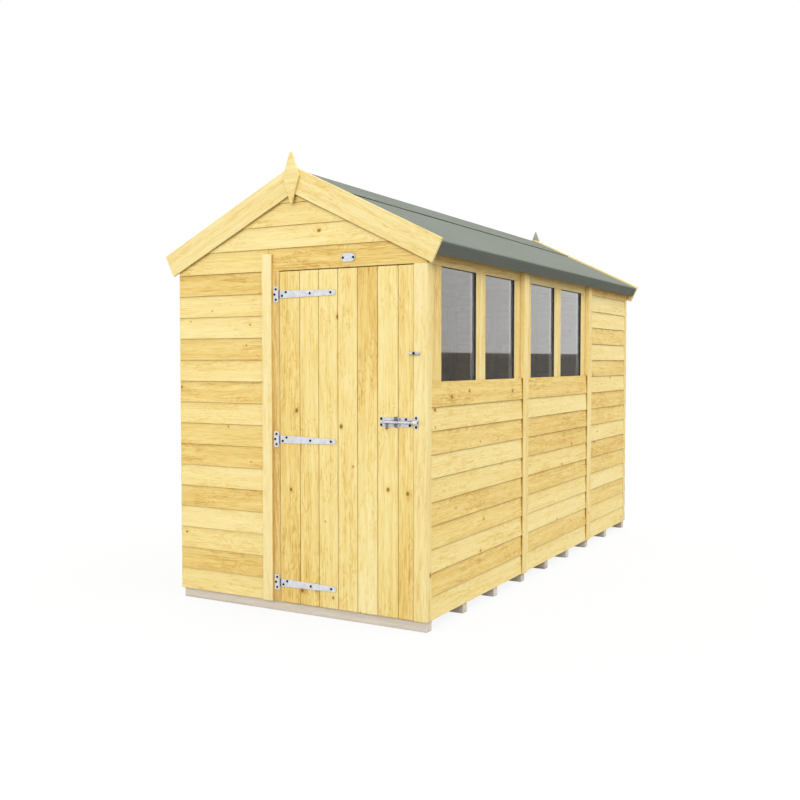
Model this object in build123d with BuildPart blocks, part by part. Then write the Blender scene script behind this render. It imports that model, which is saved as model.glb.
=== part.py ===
from build123d import *
import math
import os

os.makedirs("parts", exist_ok=True)

# Apex shed of overlapped boards on framed wall panels, with a ledged door and a felted roof.
# X runs across the door wall, Y from the door wall to the rear wall and Z up from the ground.
# The origin is the middle of the ground plan. Lengths are in millimetres.

# Walls
wall_width = 1500.0
long_panel = 1182.0
short_panel = 880.0
cladding_depth = 16.0
frame_depth = 34.0
frame_width = 40.0
foot_height = 52.0
board_cover = 112.4
head_board_count = 15
eaves_rise = 120.0
panel_gap = 2.0
cover_depth = 12.0
side_cover_width = 65.0

# Floor
bearer_width = 50.0
bearer_height = 64.0
bearer_reach = 9.0
floor_thickness = 12.0
long_bay_count = 3
short_bay_count = 2

# Roof
roof_pitch = 26.12
eaves_clearance = 5.3
felt_thickness = 3.0
roof_board = 11.0
eaves_drop = 66.0
batten_width = 28.0
cap_reach = 306.0
cap_thickness = 2.0
ridge_gap = 2.0
rafter_depth = 60.0
beam_width = 34.0
beam_height = 90.0
tie_depth = 50.0
tie_place_share = 0.42

# Barge boards and finials
barge_width = 122.0
barge_depth = 13.0
barge_rise = 12.0
barge_overhang = 5.0
mitre_gap = 1.0
finial_depth = 13.0
finial_height = 255.0
finial_width = 97.0
finial_rise = 65.0
finial_tip = 8.0
finial_waist_share = 0.53

# Windows, all in the two long panels of the right wall
window_height = 554.0
window_near_stile = 132.0
window_far_stile = 122.0
window_mullion = 119.0
glass_thickness = 4.0
glass_setback = 11.0

# Doorway and door
closing_post_width = 70.0
hinge_post_width = 50.0
opening_width = 773.0
door_gap = 5.0
door_board = 11.0
front_cover_width = 59.0
front_cover_lap = 9.0
front_cover_rise = 86.0
ledge_width = 90.0
ledge_depth = 20.0
ledge_inset = 32.0
brace_width = 80.0

# Strap hinges
hinge_low = 100.0
hinge_high = 114.0
hinge_plate = 3.0
strap_length = 339.0
strap_root = 40.0
strap_tip = 27.0
leaf_width = 30.0
leaf_height = 80.0
leaf_corner = 6.0
knuckle_radius = 3.6
knuckle_height = 34.0
knuckle_play = 0.5
knuckle_gap = 1.0
hinge_pin_radius = 1.8
hinge_pin_stand = 1.0
pin_play = 0.05

# Sliding bolt and its keep
bolt_rise = 941.0
bolt_inset = 4.5
bolt_plate_length = 172.5
bolt_plate_height = 44.0
bolt_plate_depth = 2.0
bolt_plate_corner = 4.0
far_guide_place = 73.0
far_guide_width = 28.0
near_guide_width = 12.0
saddle_height = 50.0
saddle_tip = 16.0
saddle_depth = 1.5
guide_wall = 3.0
rod_radius = 5.0
rod_tail = 11.0
rod_entry = 18.0
handle_place = 29.0
handle_radius = 4.0
handle_drop = 29.0
handle_knob_radius = 5.5
keep_inset = 0.5
keep_width = 26.0
keep_height = 62.0
keep_play = 1.5

# Turn button
button_rise = 1267.0
button_inset = 6.0
button_length = 54.0
button_width = 11.0
button_depth = 8.0
button_stand = 5.0
button_play = 0.3
button_pin_radius = 2.5
button_head_radius = 4.6
button_head_depth = 2.0
spacer_radius = 5.0

# Bare plate over the door
plate_place = 320.0
plate_rise = 46.0
plate_width = 77.0
plate_height = 42.0
plate_depth = 2.0
plate_corner = 14.0

# Places that follow from the sizes above
wall_depth = cladding_depth + frame_depth
wall_length = 2 * wall_depth + 2 * long_panel + short_panel
wall_side = wall_width / 2
front_y = -wall_length / 2
frame_y = front_y + cladding_depth
inner_y = front_y + wall_depth
frame_side = wall_side - cladding_depth
inner_side = wall_side - wall_depth
rail_side = frame_side - frame_width
floor_height = bearer_height + floor_thickness
rail_top = floor_height + frame_width
head_height = foot_height + head_board_count * board_cover
head_low = head_height - frame_width
window_head = head_height
window_sill = window_head - window_height

slope_cos = math.cos(math.radians(roof_pitch))
slope_sin = math.sin(math.radians(roof_pitch))
slope_tan = slope_sin / slope_cos
roof_depth = felt_thickness + roof_board
ridge_height = head_height + eaves_rise + wall_side * slope_tan + roof_depth / slope_cos

# The eaves battens hang just clear of the laths on the side walls, and the felt wraps round them
batten_foot = wall_side + cover_depth + eaves_clearance + eaves_drop * slope_sin
batten_start = batten_foot / slope_cos
board_end = batten_start + batten_width
eaves_reach = board_end + felt_thickness

joint_places = (inner_y + long_panel, inner_y + 2 * long_panel)
panel_spans = (
    (inner_y, joint_places[0] - panel_gap / 2),
    (joint_places[0] + panel_gap / 2, joint_places[1] - panel_gap / 2),
    (joint_places[1] + panel_gap / 2, -inner_y),
)
window_spans = panel_spans[:2]
last_start, last_end = panel_spans[2]

opening_right = wall_side - closing_post_width
opening_left = opening_right - opening_width
hinge_post_left = opening_left - hinge_post_width
front_cover_right = hinge_post_left + front_cover_lap
door_left = opening_left + door_gap
door_right = opening_right - door_gap
door_top = head_height - door_gap
at_corner = (Align.MIN, Align.MIN, Align.MIN)


def under_roof(x):
    """Height of the roof boards' underside at X = x."""
    return ridge_height - abs(x) * slope_tan - roof_depth / slope_cos


def under_rafter(x):
    """Height of the rafters' underside at X = x."""
    return under_roof(x) - rafter_depth / slope_cos


def on_slope(along, above):
    """Point in X and Z on the right slope, at a distance along it from the ridge and above the felt."""
    return (along * slope_cos + above * slope_sin, ridge_height - along * slope_sin + above * slope_cos)


def by_ridge(x, above):
    """Point in X and Z on an upright cut at X = x, at a square distance above the felt."""
    return (x, ridge_height - abs(x) * slope_tan + above / slope_cos)


def across(back):
    """Upright plane at Y = back, read in X and Z, from which solids grow towards the door wall."""
    return Plane.XZ.offset(-back)


def slab(outline, start, end):
    """Adds to the active part a solid with this outline in X and Z, from Y = start to Y = end."""
    with BuildSketch(across(end)) as section:
        with BuildLine():
            Polyline(*outline, close=True)
        make_face()
    extrude(section.sketch, amount=end - start)


def block(low, high):
    """Adds to the active part a box between two opposite corners."""
    with Locations(low):
        Box(high[0] - low[0], high[1] - low[1], high[2] - low[2], align=at_corner)


def under_eaves(inside, outside, low):
    """Outline in X and Z of a wall piece whose top follows the roof boards' underside."""
    return [(inside, low), (outside, low), (outside, under_roof(outside)), (inside, under_roof(inside))]


def gable(low):
    """Outline in X and Z of a whole end wall from the height low up to the roof boards."""
    eaves = under_roof(wall_side)
    return [(-wall_side, low), (wall_side, low), (wall_side, eaves), (0, under_roof(0)), (-wall_side, eaves)]


# Floor: bearers under the ends, under the panel joints and evenly between them, notched under the side boards, and
# boarded panels on top
first_bearer = frame_y + bearer_width / 2
bearer_stops = (first_bearer, *joint_places, -first_bearer)
bearer_bays = (long_bay_count, long_bay_count, short_bay_count)
bearer_places = [-first_bearer]
for near_stop, far_stop, bays in zip(bearer_stops[:-1], bearer_stops[1:], bearer_bays):
    bearer_places += [near_stop + (far_stop - near_stop) * step / bays for step in range(bays)]

with BuildPart() as floor_bearers:
    with Locations(*[(0, place, bearer_height / 2) for place in bearer_places]):
        Box(2 * frame_side, bearer_width, bearer_height)
    with Locations(*[(0, place, foot_height / 2) for place in bearer_places]):
        Box(2 * (frame_side + bearer_reach), bearer_width, foot_height)
floor_bearers.part.label = "floor_bearers"
export_step(floor_bearers.part, "parts/floor_bearers.step")

floor_edges = (frame_y, *joint_places, -frame_y)
with BuildPart() as floor_deck:
    for near_edge, far_edge in zip(floor_edges[:-1], floor_edges[1:]):
        with Locations((0, (near_edge + far_edge) / 2, bearer_height + floor_thickness / 2)):
            Box(2 * frame_side, far_edge - near_edge - panel_gap, floor_thickness)
floor_deck.part.label = "floor_deck"
export_step(floor_deck.part, "parts/floor_deck.step")

# Door wall: boards beside the door, the gable over it, and the posts that the door hangs and closes on
with BuildPart() as front_left_cladding:
    block((-wall_side, front_y, foot_height), (hinge_post_left, frame_y, head_height))
front_left_cladding.part.label = "front_left_cladding"
export_step(front_left_cladding.part, "parts/front_left_cladding.step")

with BuildPart() as front_gable_cladding:
    slab(gable(head_height), front_y, frame_y)
front_gable_cladding.part.label = "front_gable_cladding"
export_step(front_gable_cladding.part, "parts/front_gable_cladding.step")

with BuildPart() as hinge_post:
    block((hinge_post_left, front_y, foot_height), (opening_left, frame_y, head_height))
hinge_post.part.label = "hinge_post"
export_step(hinge_post.part, "parts/hinge_post.step")

with BuildPart() as closing_post:
    block((opening_right, front_y, foot_height), (wall_side, frame_y, head_height))
closing_post.part.label = "closing_post"
export_step(closing_post.part, "parts/closing_post.step")

with BuildPart() as front_cover_strip:
    block(
        (front_cover_right - front_cover_width, front_y - cover_depth, foot_height),
        (front_cover_right, front_y, head_height + front_cover_rise),
    )
front_cover_strip.part.label = "front_cover_strip"
export_step(front_cover_strip.part, "parts/front_cover_strip.step")

with BuildPart() as blank_plate:
    with BuildSketch(across(front_y)) as plate_face:
        with Locations((plate_place, head_height + plate_rise)):
            Rectangle(plate_width, plate_height)
        chamfer(plate_face.vertices(), plate_corner)
    extrude(amount=plate_depth)
blank_plate.part.label = "blank_plate"
export_step(blank_plate.part, "parts/blank_plate.step")

# Edges of the end walls, which show beside the side boards
with BuildPart() as corner_boards:
    slab(under_eaves(frame_side, wall_side, foot_height), frame_y, inner_y)
    mirror(about=Plane.YZ)
    mirror(about=Plane.XZ)
corner_boards.part.label = "corner_boards"
export_step(corner_boards.part, "parts/corner_boards.step")

# Frame behind the door wall: corner studs up to the rafters, studs beside the doorway and under the ridge
beam_side = beam_width / 2
beam_low = under_roof(0) - beam_height
corner_stud = [
    (rail_side, floor_height),
    (frame_side, floor_height),
    (frame_side, under_rafter(frame_side)),
    (rail_side, under_rafter(rail_side)),
]
left_stud = (hinge_post_left - rail_side) / 2
with BuildPart() as front_studs:
    slab(corner_stud, frame_y, inner_y)
    mirror(about=Plane.YZ)
    block((left_stud - frame_width / 2, frame_y, rail_top), (left_stud + frame_width / 2, inner_y, head_low))
    block((hinge_post_left, frame_y, floor_height), (opening_left, inner_y, head_low))
    block((-frame_width / 2, frame_y, head_height), (frame_width / 2, inner_y, beam_low))
front_studs.part.label = "front_studs"
export_step(front_studs.part, "parts/front_studs.step")

with BuildPart() as front_rails:
    block((-rail_side, frame_y, floor_height), (hinge_post_left, inner_y, rail_top))
    block((-rail_side, frame_y, head_low), (rail_side, inner_y, head_height))
front_rails.part.label = "front_rails"
export_step(front_rails.part, "parts/front_rails.step")

# Door: boards, three ledges behind them and two braces between the ledges
hinge_heights = (
    foot_height + hinge_low,
    (foot_height + hinge_low + door_top - hinge_high) / 2,
    door_top - hinge_high,
)
door_back = front_y + door_board
ledge_left = door_left + ledge_inset
ledge_right = door_right - ledge_inset

with BuildPart() as door_boards:
    block((door_left, front_y, foot_height), (door_right, door_back, door_top))
door_boards.part.label = "door_boards"
export_step(door_boards.part, "parts/door_boards.step")

with BuildPart() as door_ledges:
    for height in hinge_heights:
        block(
            (ledge_left, door_back, height - ledge_width / 2),
            (ledge_right, door_back + ledge_depth, height + ledge_width / 2),
        )
door_ledges.part.label = "door_ledges"
export_step(door_ledges.part, "parts/door_ledges.step")

with BuildPart() as door_braces:
    for lower, upper in zip(hinge_heights[:-1], hinge_heights[1:]):
        low_end = lower + ledge_width / 2
        high_end = upper - ledge_width / 2
        brace = [
            (ledge_left, low_end),
            (ledge_left + brace_width, low_end),
            (ledge_right, high_end),
            (ledge_right - brace_width, high_end),
        ]
        slab(brace, door_back, door_back + ledge_depth)
door_braces.part.label = "door_braces"
export_step(door_braces.part, "parts/door_braces.step")

# Strap hinges: a tapered strap on the door, a leaf on the post and a pin through their knuckles
hinge_x = (opening_left + door_left) / 2
hinge_y = front_y - knuckle_radius - knuckle_play
knuckle_length = knuckle_height / 3 - knuckle_play
knuckle_pitch = knuckle_height / 3
plate_start = knuckle_radius + knuckle_gap
strap_start = hinge_x + plate_start
strap_end = hinge_x + strap_length
tip_centre = strap_end - strap_tip / 2


def knuckles(*heights):
    """Adds to the active part a bored round knuckle at each height on the hinge line."""
    with Locations(*[(hinge_x, hinge_y, height) for height in heights]):
        Cylinder(knuckle_radius, knuckle_length)
        Cylinder(hinge_pin_radius + pin_play, knuckle_length, mode=Mode.SUBTRACT)


with BuildPart() as hinge_straps:
    for height in hinge_heights:
        with BuildSketch(across(front_y)):
            with BuildLine():
                Line((strap_start, height - strap_root / 2), (strap_start, height + strap_root / 2))
                Line((strap_start, height + strap_root / 2), (tip_centre, height + strap_tip / 2))
                ThreePointArc(
                    (tip_centre, height + strap_tip / 2), (strap_end, height), (tip_centre, height - strap_tip / 2)
                )
                Line((tip_centre, height - strap_tip / 2), (strap_start, height - strap_root / 2))
            make_face()
            with Locations(((hinge_x + strap_start) / 2, height)):
                Rectangle(plate_start, knuckle_length)
        extrude(amount=hinge_plate)
        knuckles(height)
hinge_straps.part.label = "hinge_straps"
export_step(hinge_straps.part, "parts/hinge_straps.step")

with BuildPart() as hinge_leaves:
    for height in hinge_heights:
        with BuildSketch(across(front_y)):
            with Locations((hinge_x - plate_start - leaf_width / 2, height)):
                RectangleRounded(leaf_width, leaf_height, leaf_corner)
            with Locations(
                (hinge_x - plate_start / 2, height - knuckle_pitch),
                (hinge_x - plate_start / 2, height + knuckle_pitch),
            ):
                Rectangle(plate_start, knuckle_length)
        extrude(amount=hinge_plate)
        knuckles(height - knuckle_pitch, height + knuckle_pitch)
hinge_leaves.part.label = "hinge_leaves"
export_step(hinge_leaves.part, "parts/hinge_leaves.step")

with BuildPart() as hinge_pins:
    with Locations(*[(hinge_x, hinge_y, height) for height in hinge_heights]):
        Cylinder(hinge_pin_radius, knuckle_height + 2 * hinge_pin_stand)
hinge_pins.part.label = "hinge_pins"
export_step(hinge_pins.part, "parts/hinge_pins.step")

# Sliding bolt: a plate on the door with two guides, the far one on a six-sided saddle, a rod with a hanging handle,
# and a keep with round ears on the post
bolt_height = foot_height + bolt_rise
plate_right = door_right - bolt_inset
plate_left = plate_right - bolt_plate_length
plate_y = front_y - bolt_plate_depth
rod_y = plate_y - rod_radius - keep_play - guide_wall
keep_left = opening_right + keep_inset
rod_left = plate_left + rod_tail
rod_right = keep_left + rod_entry
handle_x = rod_left + handle_place


def staple(left, width, bore):
    """Adds to the active part a bracket round the rod: a bridge off the plate with a round front and a bore."""
    outside = bore + guide_wall
    block((left, rod_y, bolt_height - outside), (left + width, plate_y, bolt_height + outside))
    with Locations((left + width / 2, rod_y, bolt_height)):
        Cylinder(outside, width, rotation=(0, 90, 0))
        Cylinder(bore, width, rotation=(0, 90, 0), mode=Mode.SUBTRACT)


saddle_left = plate_left + far_guide_place
saddle_middle = saddle_left + far_guide_width / 2
with BuildPart() as bolt_plate:
    with BuildSketch(across(front_y)):
        with Locations(((plate_left + plate_right) / 2, bolt_height)):
            RectangleRounded(bolt_plate_length, bolt_plate_height, bolt_plate_corner)
    extrude(amount=bolt_plate_depth)
    with BuildSketch(across(plate_y)):
        with BuildLine():
            Polyline(
                (saddle_left, bolt_height),
                (saddle_middle - saddle_tip / 2, bolt_height + saddle_height / 2),
                (saddle_middle + saddle_tip / 2, bolt_height + saddle_height / 2),
                (saddle_left + far_guide_width, bolt_height),
                (saddle_middle + saddle_tip / 2, bolt_height - saddle_height / 2),
                (saddle_middle - saddle_tip / 2, bolt_height - saddle_height / 2),
                close=True,
            )
        make_face()
    extrude(amount=saddle_depth)
    staple(saddle_left, far_guide_width, rod_radius + pin_play)
    staple(plate_right - near_guide_width, near_guide_width, rod_radius + pin_play)
bolt_plate.part.label = "bolt_plate"
export_step(bolt_plate.part, "parts/bolt_plate.step")

with BuildPart() as bolt_rod:
    with Locations(((rod_left + rod_right) / 2, rod_y, bolt_height)):
        Cylinder(rod_radius, rod_right - rod_left, rotation=(0, 90, 0))
    with Locations((handle_x, rod_y, bolt_height - handle_drop / 2)):
        Cylinder(handle_radius, handle_drop)
    with Locations((handle_x, rod_y, bolt_height - handle_drop)):
        Sphere(handle_knob_radius)
bolt_rod.part.label = "bolt_rod"
export_step(bolt_rod.part, "parts/bolt_rod.step")

with BuildPart() as bolt_keep:
    with BuildSketch(across(front_y)):
        with Locations((keep_left + keep_width / 2, bolt_height)):
            SlotOverall(keep_height, keep_width, rotation=90)
    extrude(amount=bolt_plate_depth)
    staple(keep_left, keep_width, rod_radius + keep_play)
bolt_keep.part.label = "bolt_keep"
export_step(bolt_keep.part, "parts/bolt_keep.step")

# Turn button: a bar that turns on a screw and spacer on the closing post, to lie over the door's edge
button_x = opening_right + button_inset
button_height = foot_height + button_rise
button_back = front_y - button_stand
button_face = button_back - button_depth

with BuildPart() as turn_button:
    with BuildSketch(across(button_back)):
        with Locations((button_x, button_height)):
            SlotOverall(button_length, button_width)
            Circle(button_pin_radius + pin_play, mode=Mode.SUBTRACT)
    extrude(amount=button_depth)
turn_button.part.label = "turn_button"
export_step(turn_button.part, "parts/turn_button.step")

with BuildPart() as button_screw:
    with BuildSketch(across(front_y)):
        with Locations((button_x, button_height)):
            Circle(spacer_radius)
    extrude(amount=button_stand - button_play)
    with BuildSketch(across(front_y)):
        with Locations((button_x, button_height)):
            Circle(button_pin_radius)
    extrude(amount=button_stand + button_depth + button_play)
    with BuildSketch(across(button_face - button_play)):
        with Locations((button_x, button_height)):
            Circle(button_head_radius)
    extrude(amount=button_head_depth)
button_screw.part.label = "button_screw"
export_step(button_screw.part, "parts/button_screw.step")

# Right wall: boards up to the sills of the two windowed panels, and a fully boarded last panel
with BuildPart() as right_cladding:
    for start, end in window_spans:
        block((frame_side, start, foot_height), (wall_side, end, window_sill))
    slab(under_eaves(frame_side, wall_side, foot_height), last_start, last_end)
right_cladding.part.label = "right_cladding"
export_step(right_cladding.part, "parts/right_cladding.step")

# Each windowed panel has a post at both ends and one between its two panes
pane_spans = []
post_spans = []
for start, end in window_spans:
    pane_width = (end - start - window_near_stile - window_mullion - window_far_stile) / 2
    first_pane = start + window_near_stile
    second_pane = end - window_far_stile - pane_width
    pane_spans += [(first_pane, first_pane + pane_width), (second_pane, second_pane + pane_width)]
    post_spans += [(start, first_pane), (first_pane + pane_width, second_pane), (end - window_far_stile, end)]

with BuildPart() as window_posts:
    for start, end in post_spans:
        block((inner_side, start, rail_top), (frame_side, end, window_head))
window_posts.part.label = "window_posts"
export_step(window_posts.part, "parts/window_posts.step")

with BuildPart() as window_sills:
    for start, end in pane_spans:
        block((inner_side, start, window_sill - frame_width), (frame_side, end, window_sill))
window_sills.part.label = "window_sills"
export_step(window_sills.part, "parts/window_sills.step")

with BuildPart() as window_heads:
    for start, end in window_spans:
        slab(under_eaves(inner_side, frame_side, window_head), start, end)
window_heads.part.label = "window_heads"
export_step(window_heads.part, "parts/window_heads.step")

glass_face = frame_side - glass_setback
with BuildPart() as window_glass:
    for start, end in pane_spans:
        block((glass_face - glass_thickness, start, window_sill), (glass_face, end, window_head))
window_glass.part.label = "window_glass"
export_step(window_glass.part, "parts/window_glass.step")


def stud_starts(start, end):
    """Places in Y of a panel's three studs: at its ends and in the middle."""
    return (start, (start + end - frame_width) / 2, end - frame_width)


with BuildPart() as right_studs:
    for place in stud_starts(last_start, last_end):
        block((inner_side, place, rail_top), (frame_side, place + frame_width, window_head))
right_studs.part.label = "right_studs"
export_step(right_studs.part, "parts/right_studs.step")

with BuildPart() as right_rails:
    for start, end in panel_spans:
        block((inner_side, start, floor_height), (frame_side, end, rail_top))
    slab(under_eaves(inner_side, frame_side, window_head), last_start, last_end)
right_rails.part.label = "right_rails"
export_step(right_rails.part, "parts/right_rails.step")

# Left wall: three boarded panels
with BuildPart() as left_cladding:
    for start, end in panel_spans:
        slab(under_eaves(-frame_side, -wall_side, foot_height), start, end)
left_cladding.part.label = "left_cladding"
export_step(left_cladding.part, "parts/left_cladding.step")

with BuildPart() as left_studs:
    for start, end in panel_spans:
        for place in stud_starts(start, end):
            block((-frame_side, place, rail_top), (-inner_side, place + frame_width, window_head))
left_studs.part.label = "left_studs"
export_step(left_studs.part, "parts/left_studs.step")

with BuildPart() as left_rails:
    for start, end in panel_spans:
        block((-frame_side, start, floor_height), (-inner_side, end, rail_top))
        slab(under_eaves(-inner_side, -frame_side, window_head), start, end)
left_rails.part.label = "left_rails"
export_step(left_rails.part, "parts/left_rails.step")

# Laths over the panel joints of both side walls
with BuildPart() as side_cover_strips:
    for place in joint_places:
        slab(
            under_eaves(wall_side, wall_side + cover_depth, foot_height),
            place - side_cover_width / 2,
            place + side_cover_width / 2,
        )
    mirror(about=Plane.YZ)
side_cover_strips.part.label = "side_cover_strips"
export_step(side_cover_strips.part, "parts/side_cover_strips.step")

# Rear wall: one boarded gable panel and its frame
with BuildPart() as rear_cladding:
    slab(gable(foot_height), -frame_y, -front_y)
rear_cladding.part.label = "rear_cladding"
export_step(rear_cladding.part, "parts/rear_cladding.step")

rear_stud_places = (-rail_side / 2, 0, rail_side / 2)
with BuildPart() as rear_studs:
    slab(corner_stud, -inner_y, -frame_y)
    mirror(about=Plane.YZ)
    for place in rear_stud_places:
        block((place - frame_width / 2, -inner_y, rail_top), (place + frame_width / 2, -frame_y, head_low))
    block((-frame_width / 2, -inner_y, head_height), (frame_width / 2, -frame_y, beam_low))
rear_studs.part.label = "rear_studs"
export_step(rear_studs.part, "parts/rear_studs.step")

with BuildPart() as rear_rails:
    block((-rail_side, -inner_y, floor_height), (rail_side, -frame_y, rail_top))
    block((-rail_side, -inner_y, head_low), (rail_side, -frame_y, head_height))
rear_rails.part.label = "rear_rails"
export_step(rear_rails.part, "parts/rear_rails.step")

# Roof frame: a ridge beam from gable to gable, rafters in the gables and over the panel joints, and ties
ridge_section = [
    (-beam_side, beam_low),
    (beam_side, beam_low),
    (beam_side, under_roof(beam_side)),
    (0, under_roof(0)),
    (-beam_side, under_roof(beam_side)),
]
with BuildPart() as ridge_beam:
    slab(ridge_section, frame_y, -frame_y)
ridge_beam.part.label = "ridge_beam"
export_step(ridge_beam.part, "parts/ridge_beam.step")


def rafter(outside):
    """Outline in X and Z of a right rafter from the ridge beam out to X = outside."""
    return [
        (beam_side, under_rafter(beam_side)),
        (outside, under_rafter(outside)),
        (outside, under_roof(outside)),
        (beam_side, under_roof(beam_side)),
    ]


with BuildPart() as rafters:
    slab(rafter(frame_side), frame_y, inner_y)
    slab(rafter(frame_side), -inner_y, -frame_y)
    for place in joint_places:
        slab(rafter(inner_side), place - beam_side, place + beam_side)
    mirror(about=Plane.YZ)
rafters.part.label = "rafters"
export_step(rafters.part, "parts/rafters.step")

tie_low = under_rafter(inner_side) + tie_place_share * inner_side * slope_tan
tie_high = tie_low + tie_depth
tie_low_side = (under_rafter(0) - tie_low) / slope_tan
tie_high_side = (under_rafter(0) - tie_high) / slope_tan
tie = [(-tie_low_side, tie_low), (tie_low_side, tie_low), (tie_high_side, tie_high), (-tie_high_side, tie_high)]
with BuildPart() as roof_ties:
    for place in joint_places:
        slab(tie, place - beam_side, place + beam_side)
roof_ties.part.label = "roof_ties"
export_step(roof_ties.part, "parts/roof_ties.step")

# Roof: boards on both slopes, battens along the eaves, and felt that folds down over the battens
ridge_side = ridge_gap / 2
deck = [
    by_ridge(ridge_side, -roof_depth),
    on_slope(board_end, -roof_depth),
    on_slope(board_end, -felt_thickness),
    by_ridge(ridge_side, -felt_thickness),
]
with BuildPart() as roof_boards:
    slab(deck, front_y, -front_y)
    mirror(about=Plane.YZ)
roof_boards.part.label = "roof_boards"
export_step(roof_boards.part, "parts/roof_boards.step")

batten = [
    on_slope(batten_start, -eaves_drop),
    on_slope(board_end, -eaves_drop),
    on_slope(board_end, -roof_depth),
    on_slope(batten_start, -roof_depth),
]
with BuildPart() as eaves_battens:
    slab(batten, front_y, -front_y)
    mirror(about=Plane.YZ)
eaves_battens.part.label = "eaves_battens"
export_step(eaves_battens.part, "parts/eaves_battens.step")

felt = [
    by_ridge(ridge_side, -felt_thickness),
    on_slope(board_end, -felt_thickness),
    on_slope(board_end, -eaves_drop),
    on_slope(eaves_reach, -eaves_drop),
    on_slope(eaves_reach, 0),
    by_ridge(ridge_side, 0),
]
with BuildPart() as roof_felt:
    slab(felt, front_y, -front_y)
    mirror(about=Plane.YZ)
roof_felt.part.label = "roof_felt"
export_step(roof_felt.part, "parts/roof_felt.step")

cap_edge = [by_ridge(0, 0), on_slope(cap_reach, 0), on_slope(cap_reach, cap_thickness), by_ridge(0, cap_thickness)]
with BuildPart() as ridge_felt:
    slab(cap_edge, front_y, -front_y)
    mirror(about=Plane.YZ)
ridge_felt.part.label = "ridge_felt"
export_step(ridge_felt.part, "parts/ridge_felt.step")

# Barge boards along both gables, mitred under a kite-shaped finial
barge_end = eaves_reach + barge_overhang
barge_low = barge_rise - barge_width
mitre_side = mitre_gap / 2
barge = [
    by_ridge(mitre_side, barge_low),
    on_slope(barge_end, barge_low),
    on_slope(barge_end, barge_rise),
    by_ridge(mitre_side, barge_rise),
]
barge_face = front_y - barge_depth
with BuildPart() as front_barge_boards:
    slab(barge, barge_face, front_y)
    mirror(about=Plane.YZ)
front_barge_boards.part.label = "front_barge_boards"
export_step(front_barge_boards.part, "parts/front_barge_boards.step")

with BuildPart() as rear_barge_boards:
    slab(barge, -front_y, -barge_face)
    mirror(about=Plane.YZ)
rear_barge_boards.part.label = "rear_barge_boards"
export_step(rear_barge_boards.part, "parts/rear_barge_boards.step")

finial_top = ridge_height + barge_rise / slope_cos + finial_rise
finial_low = finial_top - finial_height
finial_waist = finial_low + finial_waist_share * finial_height
kite = [
    (-finial_tip / 2, finial_low),
    (finial_tip / 2, finial_low),
    (finial_width / 2, finial_waist),
    (finial_tip / 2, finial_top),
    (-finial_tip / 2, finial_top),
    (-finial_width / 2, finial_waist),
]
with BuildPart() as finials:
    slab(kite, barge_face - finial_depth, barge_face)
    mirror(about=Plane.XZ)
finials.part.label = "finials"
export_step(finials.part, "parts/finials.step")
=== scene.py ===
import math

import bmesh
import bpy
import numpy as np
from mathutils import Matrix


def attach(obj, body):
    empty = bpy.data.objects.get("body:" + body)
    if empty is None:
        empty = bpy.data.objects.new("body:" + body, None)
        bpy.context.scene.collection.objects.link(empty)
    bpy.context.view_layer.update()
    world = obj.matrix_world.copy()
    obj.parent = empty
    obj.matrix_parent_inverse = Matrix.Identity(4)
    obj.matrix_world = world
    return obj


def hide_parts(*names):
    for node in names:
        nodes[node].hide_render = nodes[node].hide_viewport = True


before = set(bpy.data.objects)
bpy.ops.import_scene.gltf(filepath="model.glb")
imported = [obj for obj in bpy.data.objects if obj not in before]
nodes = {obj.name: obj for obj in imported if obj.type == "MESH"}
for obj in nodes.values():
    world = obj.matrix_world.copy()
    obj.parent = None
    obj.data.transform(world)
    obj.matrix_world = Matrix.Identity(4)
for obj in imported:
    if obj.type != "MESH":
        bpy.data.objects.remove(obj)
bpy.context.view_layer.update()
up = np.array([0.0, 0.0, 1.0])
print("frame loaded:", len(nodes), "nodes")


# Colours and shader nodes

def screen(red, green, blue):
    # a colour read off a screen, 0 to 255, as linear light
    value = np.array([red, green, blue]) / 255
    linear = np.where(value <= 0.04045, value / 12.92, ((value + 0.055) / 1.055) ** 2.4)
    return (*linear.tolist(), 1.0)


def newMaterial(name):
    material = bpy.data.materials.new(name)
    material.use_nodes = True
    return material, material.node_tree, material.node_tree.nodes["Principled BSDF"]


def add(tree, kind, inputs=(), **settings):
    # one shader node: settings are its own choices, inputs its sockets, linked or set
    made = tree.nodes.new("ShaderNode" + kind)
    for key, value in settings.items():
        setattr(made, key, value)
    for key, value in dict(inputs).items():
        if isinstance(value, bpy.types.NodeSocket):
            tree.links.new(value, made.inputs[key])
        else:
            made.inputs[key].default_value = value
    return made


def calc(tree, operation, first, second, clamp=False):
    return add(tree, "Math", {0: first, 1: second}, operation=operation, use_clamp=clamp).outputs[0]


def ease(tree, value, low, high, toLow=0.0, toHigh=1.0):
    # smooth step of a value between two levels
    inputs = {"Value": value, "From Min": low, "From Max": high, "To Min": toLow, "To Max": toHigh}
    return add(tree, "MapRange", inputs, interpolation_type="SMOOTHSTEP").outputs[0]


def ramp(tree, value, stops):
    made = add(tree, "ValToRGB", {"Fac": value})
    band = made.color_ramp
    while len(band.elements) < len(stops):
        band.elements.new(1.0)
    for element, (place, colour) in zip(band.elements, stops):
        element.position, element.color = place, colour
    return made.outputs["Color"]


def scaled(tree, vector, scale):
    return add(tree, "Mapping", {"Vector": vector, "Scale": scale}).outputs["Vector"]


def blended(tree, share, under, over, way="MIX"):
    # one colour over another, by a share of 0 to 1
    return add(tree, "Mix", {"Factor": share, 6: under, 7: over}, data_type="RGBA", blend_type=way).outputs[2]


def paintedCornerShade(tree, reach, start, most):
    # painted shade: 0 in the open, more the more is closed off within the reach, up to the most; darkens corners and
    # joints
    openness = add(tree, "AmbientOcclusion", {"Distance": reach}, samples=4).outputs["AO"]
    return ease(tree, openness, start, 0.25, 0.0, most)


# Pine: growth rings about each board's own heart, fibres along it, and knots with the rings bent round them

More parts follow.
